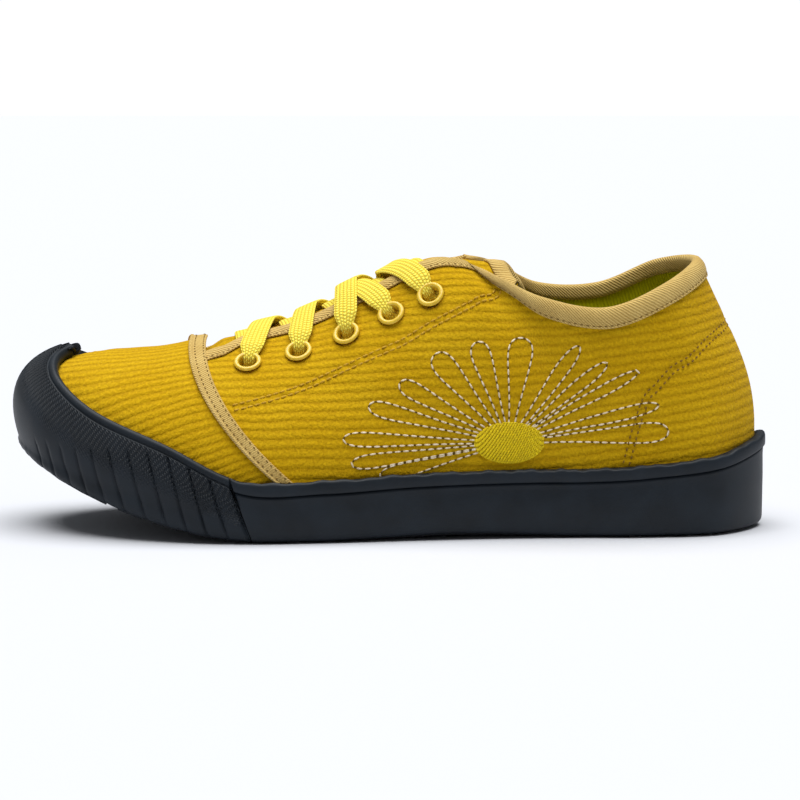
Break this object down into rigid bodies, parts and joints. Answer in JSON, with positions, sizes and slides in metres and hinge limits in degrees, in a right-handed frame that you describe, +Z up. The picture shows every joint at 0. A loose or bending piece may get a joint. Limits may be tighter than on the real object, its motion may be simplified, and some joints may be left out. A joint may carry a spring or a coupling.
{
  "type": "canvas shoe",
  "caption": "Low lace-up corduroy shoe for a left foot, hollow upper on a rubber cupsole with a thick ribbed toe guard over the toe.",
  "frame": {"origin": "on the floor, under the middle of the shoe's box", "axes": "+X towards the heel, +Y towards the inner side of the foot, +Z up"},
  "size_m": [0.2775, 0.0999, 0.0992],
  "materials": {
    "outsole_rubber": "moulded slate-black rubber tread, dull",
    "sidewall_rubber": "slate-black rubber foxing and toe guard, satin",
    "insole_cloth": "plain cotton twill over foam, matt",
    "corduroy": "mustard cotton corduroy, lengthwise wales of about 3 mm, napped",
    "cotton_tape": "beige-gold herringbone cotton tape, matt",
    "painted_eyelet": "yellow-gold enamelled brass eyelet, satin",
    "lace": "flat knitted cotton lace, lemon yellow, matt"
  },
  "bodies": {
    "root": {"outsole": "outsole_rubber", "sidewall": "sidewall_rubber", "toe_guard": "sidewall_rubber", "insole": "insole_cloth", "upper": "corduroy", "vamp_tape": "cotton_tape", "edge_binding": "cotton_tape", "tongue": "corduroy", "tongue_binding": "cotton_tape", "eyelet_outer_1": "painted_eyelet", "eyelet_inner_1": "painted_eyelet", "eyelet_outer_2": "painted_eyelet", "eyelet_inner_2": "painted_eyelet", "eyelet_outer_3": "painted_eyelet", "eyelet_inner_3": "painted_eyelet", "eyelet_outer_4": "painted_eyelet", "eyelet_inner_4": "painted_eyelet", "eyelet_outer_5": "painted_eyelet", "eyelet_inner_5": "painted_eyelet", "lace_front": "lace", "lace_crossed": "lace"}
  },
  "joints": []
}
